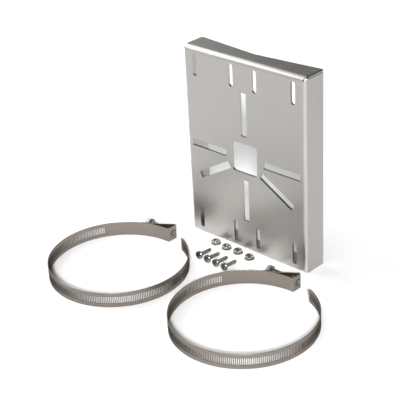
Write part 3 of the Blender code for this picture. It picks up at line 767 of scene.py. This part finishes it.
def clamp_strip():
    """One strip for the bridge and the band: its section is carried along the bridge's path, and then
    round the ring in columns, two for each slot, and a slot's columns draw together at its ends. The
    cells inside a slot are left out of both faces, and walls join the two faces round it."""
    sizes = settings().clamp
    section, outer_start, inner_start = band_section(sizes)
    path, across = bridge_path(sizes)
    plan = path[None, :, :] + section[:, 0, None, None] * across[None, :, :]
    rise = np.repeat(section[:, 1, None, None], len(path), axis=1)
    folded = np.concatenate([plan, rise], axis=-1)
    start, slots_start, slots_end, tail_end = np.radians(BAND_DEGREES)
    count = round((slots_end - slots_start) * sizes.radius / sizes.pitch)
    pitch = (slots_end - slots_start) / count
    middles = slots_start + (np.arange(count) + 0.5) * pitch
    half = sizes.opening / 2 / sizes.radius
    plain = np.linspace(start, slots_start, 44, endpoint=False)
    tail = np.array([slots_end, slots_end + (tail_end - slots_end) * 0.6, tail_end])
    angles = np.concatenate([plain, np.stack([middles - half, middles + half], axis=1).ravel(), tail])
    gather = half * (1 - np.array(SLOT_ENDS))[:, None] * np.tile([1.0, -1.0], count)
    slot_columns = len(plain) + np.arange(2 * count)
    turned = np.repeat(angles[None, :], len(section), axis=0)
    for first in (outer_start, inner_start):
        turned[first : first + 6, slot_columns[0] : slot_columns[-1] + 1] += gather
    radius = sizes.radius - sizes.sheet * (1 - section[:, 0:1])
    clip = np.zeros(len(angles))
    clip[-1], clip[-2] = TAIL_CLIP, TAIL_CLIP_START
    height = np.clip(np.repeat(section[:, 1:2], len(angles), axis=1), clip, sizes.width - clip)
    ring = np.stack([radius * np.cos(turned), radius * np.sin(turned), height], axis=-1)
    points = np.concatenate([folded, ring], axis=1)
    rows, cells = points.shape[:2]
    opening = len(path) + len(plain) + 2 * np.arange(count)
    keep = np.ones((rows, cells - 1), bool)
    for first in (outer_start, inner_start):
        keep[np.ix_(np.arange(first, first + 5), opening)] = False
    faces = grid_faces(rows, cells, close_rows=True, keep=keep).tolist()
    outer, inner = np.arange(outer_start, outer_start + 6), np.arange(inner_start, inner_start + 6)
    outer_ring = [(row, 0) for row in outer] + [(row, 1) for row in outer[::-1]]
    inner_ring = [(row, 0) for row in inner[::-1]] + [(row, 1) for row in inner]
    for i in range(12):
        j = (i + 1) % 12
        wall = [outer_ring[i], outer_ring[j], inner_ring[j], inner_ring[i]]
        faces += np.stack([row * cells + opening + side for row, side in wall], axis=1).tolist()
    faces.append([row * cells for row in range(rows)])
    faces.append([row * cells + cells - 1 for row in range(rows)])
    return points, faces


def mark_painted_shade_in_slots(mesh, centre):
    """Marks painted shade on the faces inside the band's slots, which darkens them: those between its two
    faces at a slot's height."""
    sizes = settings().clamp
    middles = np.empty(len(mesh.polygons) * 3)
    mesh.polygons.foreach_get("center", middles)
    middles = middles.reshape(-1, 3) - (*centre, sizes.width / 2)
    depth = (sizes.radius - np.hypot(middles[:, 0], middles[:, 1])) / sizes.sheet
    inside = (depth > 0.15) & (depth < 0.85) & (np.abs(middles[:, 2]) < sizes.slot_height / 2 + 0.0001)
    azimuth = np.degrees(np.arctan2(middles[:, 1], middles[:, 0]))
    mark(mesh, "dull_and_painted_shade", "FACE", inside & ((azimuth < 80) | (azimuth > 148)))


def clamp_holes(place):
    """The round hole in the bridge's end face and the one that the worm passes through in its slope."""
    holes = []
    for radius, start, end in WORM_HOLES:
        points, faces = loft(turned_body([(radius, start), (radius, end)], 48))
        holes.append((moved(points, place), faces))
    return joined(holes)


class BuildClamps(bpy.types.Operator):
    """Builds both bands with every slot cut through, and their folded bridges"""

    bl_idname = "pole_mount.build_clamps"
    bl_label = "Bands and bridges"

    def execute(self, context):
        for letter in CLAMPS:
            centre = clamp_centre(letter)
            body = placed(clamp_strip(), np.array([*centre, 0.0]))
            strip = mesh_object(f"clamp_{letter}_folded_strip", *body)
            carved(strip, [mesh_object("cut_bridge", *clamp_holes(worm_axis(letter)))])
            mark_painted_shade_in_slots(strip.data, centre)
            replaced = [f"clamp_{letter}_band", f"clamp_{letter}_bridge"]
            finish_piece(strip, SET_BODY, "band", replaced, crease=38.0)
        return {"FINISHED"}


# Worm screws

WORM_DULL = 0.30
WORM_HEAD_TOP, WORM_HEAD_BASE = -0.0304, -0.0264
WORM_HEAD_FLATS = 0.00794
WORM_HEAD_ROWS = (0, 0.0, 0.00025, 0.0005, 0.0008, 0.0012, 0.0036, 0.0039, 0.0040)
WORM_SLOT = ((-0.006, -0.0005, -0.0320), (0.006, 0.0005, -0.0290))
# Radius and height of the collar, the plain part in the bridge's hole and the rounded tip
WORM_COLLAR = (
    (0.0021, -0.00130), (0.0029, -0.00130), (0.0030, -0.00120), (0.0030, -0.00040),
    (0.0029, -0.00030), (0.0024, -0.00030), (0.0024, 0.00090), (0.00234, 0.00106),
    (0.0021, 0.00118), (0.0019, 0.0012), (0.0, 0.0012),
)


def worm_body():
    """The worm screw along Z: hexagon head with a chamfered face, a trapezium thread that climbs one
    slot pitch for each turn, a collar, and a rounded tip. Radius and height are worked out for each row
    and angle."""
    sizes = settings().clamp
    sides = 72
    angles = around(sides)
    head_z = np.array(WORM_HEAD_ROWS)[:, None] + WORM_HEAD_TOP
    hexagon = hexagon_radius(angles, WORM_HEAD_FLATS)
    head_r = np.minimum(hexagon, 0.0034 + (head_z - WORM_HEAD_TOP) * 1.7)
    head_r[0] = 0.0
    head_r[-2] = hexagon[0] - 0.00005
    head_r[-1] = hexagon[0] - 0.00018
    worm_z = np.arange(WORM_HEAD_BASE + 0.0002, -0.0017, sizes.pitch / 10)[:, None]
    wave = thread_wave(worm_z, angles, sizes.pitch)
    fade = np.clip(np.minimum(worm_z - WORM_HEAD_BASE - 0.0008, -0.0019 - worm_z) / 0.0008, 0, 1)
    worm_r = sizes.worm_root + (sizes.worm_crest - sizes.worm_root) * wave * fade
    neck = (0.0026, WORM_HEAD_BASE), (sizes.worm_root, WORM_HEAD_BASE + 0.0001)
    points = turned_body([(head_r, head_z), *neck, (worm_r, worm_z), np.transpose(WORM_COLLAR)], sides)
    return points, grid_faces(len(points), sides, close_columns=True)


class BuildWormScrews(bpy.types.Operator):
    """Builds the worm screws with their thread and slotted hexagon heads"""

    bl_idname = "pole_mount.build_worm_screws"
    bl_label = "Worm screws"

    def execute(self, context):
        for letter in CLAMPS:
            place = worm_axis(letter) @ Matrix.Rotation(math.radians(30), 4, "Z")
            points, faces = worm_body()
            screw = mesh_object(f"clamp_{letter}_threaded_worm", moved(points, place), faces)
            slot_points, slot_faces = box_body(*WORM_SLOT)
            carved(screw, [mesh_object("cut_slot", moved(slot_points, worm_axis(letter)), slot_faces)])
            mark_dull_and_painted_shade(screw.data, place, lambda radius, height: np.full(len(radius), WORM_DULL))
            replaced = [f"clamp_{letter}_worm_screw"]
            finish_piece(screw, f"worm_screw_{letter}", "fastener", replaced, crease=42.0)
        return {"FINISHED"}


# Machine screws

# Painted shade that darkens the threaded shank and damps its glints
SHANK_PAINTED_SHADE = 0.30
SHANK_RADIUS = 0.00155
HEAD_RIM = 0.0009
# Depth below the head's top, half width and reach of a recess's shorter arm, at its mouth and at its floor
RECESS = ((-0.001, 0.00075, 0.0021), (0.0011, 0.00042, 0.0015))


def machine_screw_body():
    """A pan head screw along Z, the underside of its head at 0 and its shank towards -Z. The head's
    crown is part of an ellipse, and the shank's radius follows the thread wave, which fades out at both
    ends."""
    sizes = settings().fastener
    sides = 48
    angles = around(sides)
    turns = np.linspace(np.pi / 2, 0, 10)
    crown_r = sizes.head * np.cos(turns) ** 0.8
    crown_z = HEAD_RIM + (sizes.head_height - HEAD_RIM) * np.sin(turns)
    crown_r[0] = 0.0
    head_r = np.concatenate([crown_r, [sizes.head, sizes.head - 0.00012, 0.0019, 0.00165]])
    head_z = np.concatenate([crown_z, [0.0002, 0.0, 0.0, -0.00025]])
    shank_z = np.arange(-0.0004, -sizes.shank + 0.0001, -sizes.pitch / 10)[:, None]
    wave = thread_wave(shank_z, angles, sizes.pitch)
    fade = np.clip(np.minimum(-shank_z - 0.0006, shank_z + sizes.shank - 0.0003) / 0.0007, 0, 1)
    body = SHANK_RADIUS - np.clip((shank_z + 0.0012) / -0.0006, 0, 1) * (SHANK_RADIUS - sizes.root)
    shank_r = body + (sizes.crest - body) * wave * fade
    end = (sizes.root * 0.93, 0.0), (-sizes.shank, -sizes.shank)
    points = turned_body([(head_r, head_z), (shank_r, shank_z), end], sides)
    return points, grid_faces(len(points), sides, close_columns=True)


def recess_body():
    """A combination recess: one slot right across the head and a shorter arm across it, both narrowing
    downwards."""
    sizes = settings().fastener
    reach = sizes.head + 0.001
    loops = []
    for depth, half, arm in RECESS:
        ring = []
        for x, y in ((1, 1), (-1, 1), (-1, -1), (1, -1)):
            corner = [(x * arm, y * half), (x * half, y * half), (x * half, y * reach)]
            ring += corner if x == y else corner[::-1]
        loops.append([(x, y, sizes.head_height - depth) for x, y in ring])
    return loft(np.array(loops))


class BuildMachineScrews(bpy.types.Operator):
    """Builds the four threaded pan head screws, each lying on its head's rim and its shank's end"""

    bl_idname = "pole_mount.build_machine_screws"
    bl_label = "Machine screws"

    def execute(self, context):
        sizes = settings().fastener
        tilt = math.atan((sizes.head - SHANK_RADIUS) / sizes.shank)
        for number, (place, degrees) in enumerate(zip(SCREW_HEADS, SCREW_TURNS), 1):
            matrix = (
                Matrix.Translation((*place, sizes.head * math.cos(tilt) + 0.0001))
                @ Matrix.Rotation(math.radians(degrees), 4, "Z")
                @ Matrix.Rotation(math.pi / 2 - tilt, 4, "X")
            )
            points, faces = machine_screw_body()
            screw = mesh_object(f"threaded_screw_{number}", moved(points, matrix), faces)
            recess_points, recess_faces = recess_body()
            carved(screw, [mesh_object("cut_recess", moved(recess_points, matrix), recess_faces)])
            mark_dull_and_painted_shade(screw.data, matrix, lambda radius, height: np.where(height < -0.0002, SHANK_PAINTED_SHADE, 0.0))
            finish_piece(screw, SET_BODY, "fastener", [f"machine_screw_{number}"])
        return {"FINISHED"}


# Lock nuts and tooth washers

NUT_BASE = 0.00115
NUT_SIDE_ROWS = (-0.0012, -0.0009, -0.0006, -0.00035, -0.00012, 0.0)
# Radius and depth under the nut's top of the countersink's rows
COUNTERSINK = ((0.00245, 0.00002), (0.00205, 0.00012), (0.00182, 0.0003))
# Radius and height of the swaged lip and the collar that hold the washer
NUT_COLLAR = (
    (0.0016, 0.0003), (0.0017, 0.0001), (0.0024, 0.00006), (0.0025, 0.00012), (0.0024, 0.0002),
    (0.0021, 0.00024), (0.0021, NUT_BASE),
)
WASHER_HOLE, WASHER_ROOT, WASHER_RIM, WASHER_SHEET = 0.00225, 0.00330, 0.00444, 0.00040
WASHER_RISE, WASHER_SLOPE = 0.00080, 0.00050 / (WASHER_RIM - WASHER_HOLE)
TOOTH_HALF_WIDTH, TOOTH_START, TOOTH_TWIST = 0.00066, 0.00025, math.radians(30)
FLOOR_GAP = 0.00002


def nut_body():
    """A hexagon nut on Z as a closed loop of rows: countersunk and threaded bore, swaged lip and collar
    below, the hexagon's sides, and the cone that cuts its upper corners."""
    sizes = settings().fastener
    sides = 72
    angles = around(sides)
    top = NUT_BASE + sizes.nut_height
    hexagon = hexagon_radius(angles, sizes.nut_flats)
    side_z = np.array([NUT_BASE, NUT_BASE + 0.00008, *(top + row for row in NUT_SIDE_ROWS)])
    side_r = np.minimum(hexagon, (0.0029 + (top - side_z) * 1.15)[:, None])
    side_r[0] = np.minimum(hexagon[0], 0.0037)
    bore_z = np.arange(top - 0.0004, 0.0004, -sizes.pitch / 8)[:, None]
    bore_r = 0.00172 - 0.0003 * thread_wave(bore_z, angles, sizes.pitch)
    rings = np.array([(radius, top - depth) for radius, depth in COUNTERSINK])
    points = turned_body([(side_r, side_z), rings.T, (bore_r, bore_z), np.transpose(NUT_COLLAR)], sides)
    return points, grid_faces(len(points), sides, close_rows=True, close_columns=True)


def washer_body():
    """A coned ring whose section is a rounded rectangle, and teeth that leave it along its cone. Each
    tooth is a blade that narrows, and turns about its own length up to its full twist at its tip."""
    teeth = settings().fastener.teeth

    def cone_height(radius):
        return WASHER_RISE - WASHER_SLOPE * (radius - WASHER_HOLE)

    section = rounded_outline(WASHER_ROOT - WASHER_HOLE, WASHER_SHEET, WASHER_SHEET * 0.25, 3)
    radii = section[:, 0] + (WASHER_ROOT + WASHER_HOLE) / 2
    ring = turned_body([(radii, section[:, 1] + cone_height(radii))], teeth * 6)
    parts = [(ring, grid_faces(len(section), teeth * 6, close_rows=True, close_columns=True))]
    along = np.linspace(0, 1, 6)[:, None]
    blade = rounded_outline(1.0, 1.0, 0.2, 2)[None, :, :]
    radius = WASHER_ROOT - TOOTH_START + (WASHER_RIM - WASHER_ROOT + TOOTH_START) * along
    twist = TOOTH_TWIST * along
    across = blade[..., 0] * 2 * TOOTH_HALF_WIDTH * (1 - 0.30 * along)
    rise = blade[..., 1] * WASHER_SHEET * (0.9 - 0.25 * along)
    side = across * np.cos(twist) - rise * np.sin(twist)
    height = across * np.sin(twist) + rise * np.cos(twist) + cone_height(radius) + FLOOR_GAP
    outward = np.sqrt(np.maximum(radius**2 - side**2, 0))
    for angle in around(teeth)[0]:
        x = outward * math.cos(angle) - side * math.sin(angle)
        y = outward * math.sin(angle) + side * math.cos(angle)
        parts.append(loft(np.stack([x, y, np.maximum(height, FLOOR_GAP)], axis=-1)))
    return joined(parts)


# Painted shade on a washer: darker towards its teeth's tips, near the floor
def tooth_painted_shade(radius, height):
    return np.clip((radius - 0.0030) / 0.0012, 0, 0.7)


class BuildNuts(bpy.types.Operator):
    """Builds the four lock nuts and their captive tooth washers"""

    bl_idname = "pole_mount.build_nuts"
    bl_label = "Lock nuts and tooth washers"

    def execute(self, context):
        places = {joint["child"]: joint["pos_m"] for joint in frame["joints"]}
        for number, degrees in enumerate(NUT_TURNS, 1):
            spot = Matrix.Translation((*places[f"washer_{number}"][:2], 0.0))
            points, faces = nut_body()
            turned = spot @ Matrix.Rotation(math.radians(degrees), 4, "Z")
            nut = mesh_object(f"threaded_nut_{number}", moved(points, turned), faces)
            finish_piece(nut, SET_BODY, "fastener", [f"lock_nut_{number}"])
            points, faces = washer_body()
            washer = mesh_object(f"twisted_tooth_washer_{number}", moved(points, spot), faces)
            mark_dull_and_painted_shade(washer.data, spot, tooth_painted_shade)
            finish_piece(washer, f"washer_{number}", "fastener", [f"tooth_washer_{number}"])
        return {"FINISHED"}


# Stage

FLOOR_REACH, FLOOR_DROP = 40.0, 0.00005
PLATE_FOOT = (0.06, 0.063, 0)
SIDE_WAY, AHEAD_WAY = (0.7, 0.7, 0), (0.7, -0.7, 0)
SKY_WAY = (0.755, 0.656, 0)
KEY_PLACE, KEY_TARGET = Vector((-0.80, -0.14, 0.70)), Vector((0, 0.04, 0.08))
SUN_WAY = Vector((-0.59, 0.65, -0.50))
PHOTO_SIDE = 400
SHIFT = 0.1 / PHOTO_SIDE

def camera_matrix(stage):
    """Right, up and backward axes of a view with this yaw, pitch and roll, and the camera's place."""
    yaw, pitch, roll = stage.camera_yaw, stage.camera_pitch, stage.camera_roll
    ahead = Vector((-math.sin(yaw) * math.cos(pitch), math.cos(yaw) * math.cos(pitch), -math.sin(pitch)))
    level = Vector((math.cos(yaw), math.sin(yaw), 0))
    upward = level.cross(ahead)
    right = level * math.cos(roll) + upward * math.sin(roll)
    top = upward * math.cos(roll) - level * math.sin(roll)
    columns = Matrix((right, top, -ahead)).transposed().to_4x4()
    return Matrix.Translation(Vector(stage.camera_place)) @ columns


def way_along(tree, place, way, start, end, low, high):
    """A value that goes smoothly from low to high where the place's distance along a way goes from
    start to end."""
    along = node(tree, "ShaderNodeVectorMath", {0: place, 1: way}, operation="DOT_PRODUCT")["Value"]
    limits = {"Value": along, "From Min": start, "From Max": end, "To Min": low, "To Max": high}
    return node(tree, "ShaderNodeMapRange", limits, interpolation_type="SMOOTHSTEP")[0]


def empty_tree(owner):
    owner.use_nodes = True
    owner.node_tree.nodes.clear()
    return owner.node_tree


def floor_material(stage):
    """A pale floor that keeps the shadows, with painted pools of light: paler near the plate's foot and
    towards the camera, so that the plate's side and its bend stand out from its front in the painted
    reflections they show."""
    material = bpy.data.materials.new("Pale floor")
    tree = empty_tree(material)
    place = node(tree, "ShaderNodeTexCoord", {})["Object"]
    near = way_along(tree, place, SIDE_WAY, -0.25, 0.0, stage.floor_tone, stage.floor_tone + stage.painted_light_near)
    from_foot = node(tree, "ShaderNodeVectorMath", {0: place, 1: PLATE_FOOT}, operation="SUBTRACT")[0]
    azimuth = node(tree, "ShaderNodeVectorMath", {0: from_foot}, operation="NORMALIZE")[0]
    ahead = way_along(tree, azimuth, AHEAD_WAY, 0.60, 0.95, 0.0, stage.painted_light_ahead)
    plain = node(tree, "ShaderNodeBsdfDiffuse", {"Color": math_node(tree, "ADD", near, ahead)})[0]
    node(tree, "ShaderNodeOutputMaterial", {"Surface": plain})
    set_out(tree)
    return material


def studio_world(stage):
    """Pale along the horizon, and above that bright on the left and dark on the right and behind."""
    world = bpy.data.worlds.new("Studio")
    bpy.context.scene.world = world
    tree = empty_tree(world)
    where = node(tree, "ShaderNodeTexCoord", {})["Generated"]
    side = way_along(tree, where, SKY_WAY, -0.10, 0.08, stage.sky_left, stage.sky_right)
    rise = way_along(tree, where, (0, 0, 1), 0.05, 0.22, 0.0, 1.0)
    strength = node(tree, "ShaderNodeMix", {"Factor": rise, "A": stage.sky_low, "B": side})["Result"]
    sky = node(tree, "ShaderNodeBackground", {"Strength": strength})[0]
    node(tree, "ShaderNodeOutputWorld", {"Surface": sky})
    set_out(tree)


def add_lamp(name, kind, energy, way, **values):
    light = bpy.data.lights.new(name, kind)
    light.energy = energy
    for key, value in values.items():
        setattr(light, key, value)
    lamp = linked(name, light)
    lamp.rotation_euler = way.to_track_quat("-Z", "Y").to_euler()
    return lamp


class SetStage(bpy.types.Operator):
    """Puts down the floor, and sets up the camera, the surroundings and the lamps"""

    bl_idname = "pole_mount.set_stage"
    bl_label = "Stage"

    def execute(self, context):
        stage = settings().stage
        camera = bpy.data.cameras.new("Photograph view")
        camera.sensor_width = 36.0
        camera.lens = stage.lens
        camera.shift_x, camera.shift_y = -SHIFT, SHIFT
        camera.clip_start, camera.clip_end = 0.01, 50.0
        view = linked("Photograph view", camera)
        view.matrix_world = camera_matrix(stage)
        context.scene.camera = view
        corners = np.array([(-1, -1, 0), (1, -1, 0), (1, 1, 0), (-1, 1, 0)]) * FLOOR_REACH
        mesh = bpy.data.meshes.new("floor")
        mesh.from_pydata((corners - (0, 0, FLOOR_DROP)).tolist(), [], [(0, 1, 2, 3)])
        mesh.materials.append(floor_material(stage))
        floor = linked("floor", mesh)
        studio_world(stage)
        way = KEY_TARGET - KEY_PLACE
        key = add_lamp("Key lamp", "AREA", stage.key_watts, way, shape="RECTANGLE", size=1.1, size_y=0.6)
        key.location = KEY_PLACE
        add_lamp("Distant lamp", "SUN", stage.sun, SUN_WAY, angle=math.radians(8))
        context.scene.view_settings.view_transform = "Standard"
        return {"FINISHED"}


OPERATORS = (BuildPlate, BuildClamps, BuildWormScrews, BuildMachineScrews, BuildNuts, SetStage)


class PoleMountSettings(bpy.types.PropertyGroup):
    """All settings of the set."""

    plate: PointerProperty(type=PlateSettings)
    clamp: PointerProperty(type=ClampSettings)
    fastener: PointerProperty(type=FastenerSettings)
    finish: PointerProperty(type=FinishSettings)
    stage: PointerProperty(type=StageSettings)


class PoleMountPanel(bpy.types.Panel):
    """Lists the steps that build the set"""

    bl_idname = "VIEW3D_PT_pole_mount"
    bl_label = "Pole mounting set"
    bl_space_type = "VIEW_3D"
    bl_region_type = "UI"
    bl_category = "Pole mount"

    def draw(self, context):
        for operator in OPERATORS:
            self.layout.operator(operator.bl_idname)


CLASSES = (
    PlateSettings, ClampSettings, FastenerSettings, FinishSettings, StageSettings, PoleMountSettings,
    *OPERATORS, PoleMountPanel,
)


def register():
    for item in CLASSES:
        bpy.utils.register_class(item)
    bpy.types.Scene.pole_mount = PointerProperty(type=PoleMountSettings)


def unregister():
    del bpy.types.Scene.pole_mount
    for item in reversed(CLASSES):
        bpy.utils.unregister_class(item)


def main():
    register()
    bpy.ops.pole_mount.build_plate()
    bpy.ops.pole_mount.build_clamps()
    bpy.ops.pole_mount.build_worm_screws()
    bpy.ops.pole_mount.build_machine_screws()
    bpy.ops.pole_mount.build_nuts()
    bpy.ops.pole_mount.set_stage()


if __name__ == "__main__":
    main()
